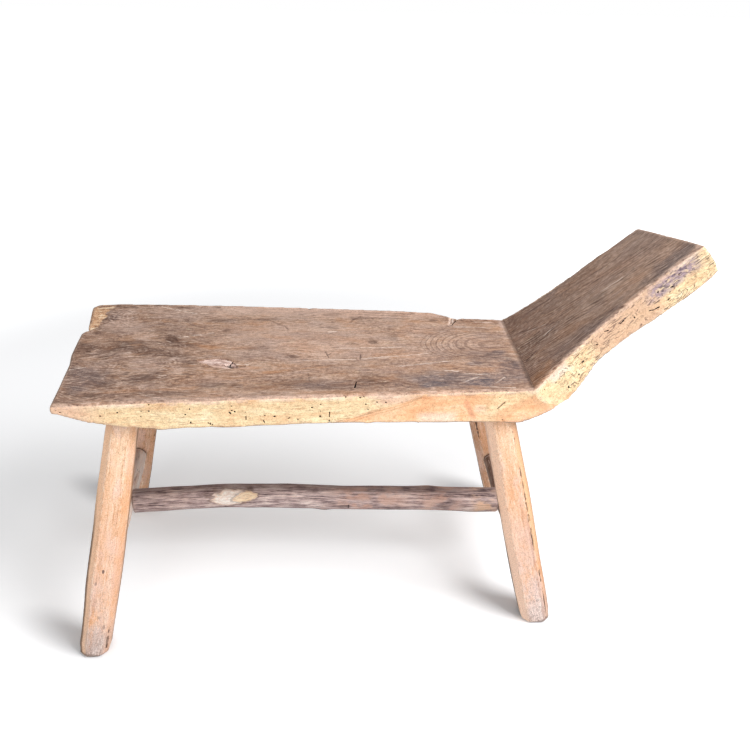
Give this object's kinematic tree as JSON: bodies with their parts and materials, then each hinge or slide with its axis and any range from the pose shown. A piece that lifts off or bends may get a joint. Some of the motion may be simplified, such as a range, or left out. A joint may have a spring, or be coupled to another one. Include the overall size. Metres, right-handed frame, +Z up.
{
  "type": "low reclining bench",
  "caption": "Hand-hewn wooden lounge bench: a thick tapering seat and sloping backrest cut from one crooked slab, on splayed shaved legs tied by round pole stretchers.",
  "frame": {"origin": "on the floor under the middle of the whole object's box", "axes": "+X along the seat towards the end that rises as the backrest, +Y to the rear long side, +Z up from the floor"},
  "size_m": [1.1132, 0.5036, 0.7208],
  "materials": {
    "slab_wood": "worn and waxed, dark on top, pale sapwood at the sides",
    "leg_wood": "shaved, dry, satin",
    "cross_pole_wood": "peeled pole, matte",
    "long_pole_wood": "dark peeled pole with a pale bare patch, matte"
  },
  "bodies": {
    "root": {"cross_stretcher_left": "cross_pole_wood", "cross_stretcher_right": "cross_pole_wood", "front_left_leg": "leg_wood", "front_right_leg": "leg_wood", "long_stretcher": "long_pole_wood", "rear_left_leg": "leg_wood", "rear_right_leg": "leg_wood", "seat_back_slab": "slab_wood"}
  },
  "joints": []
}
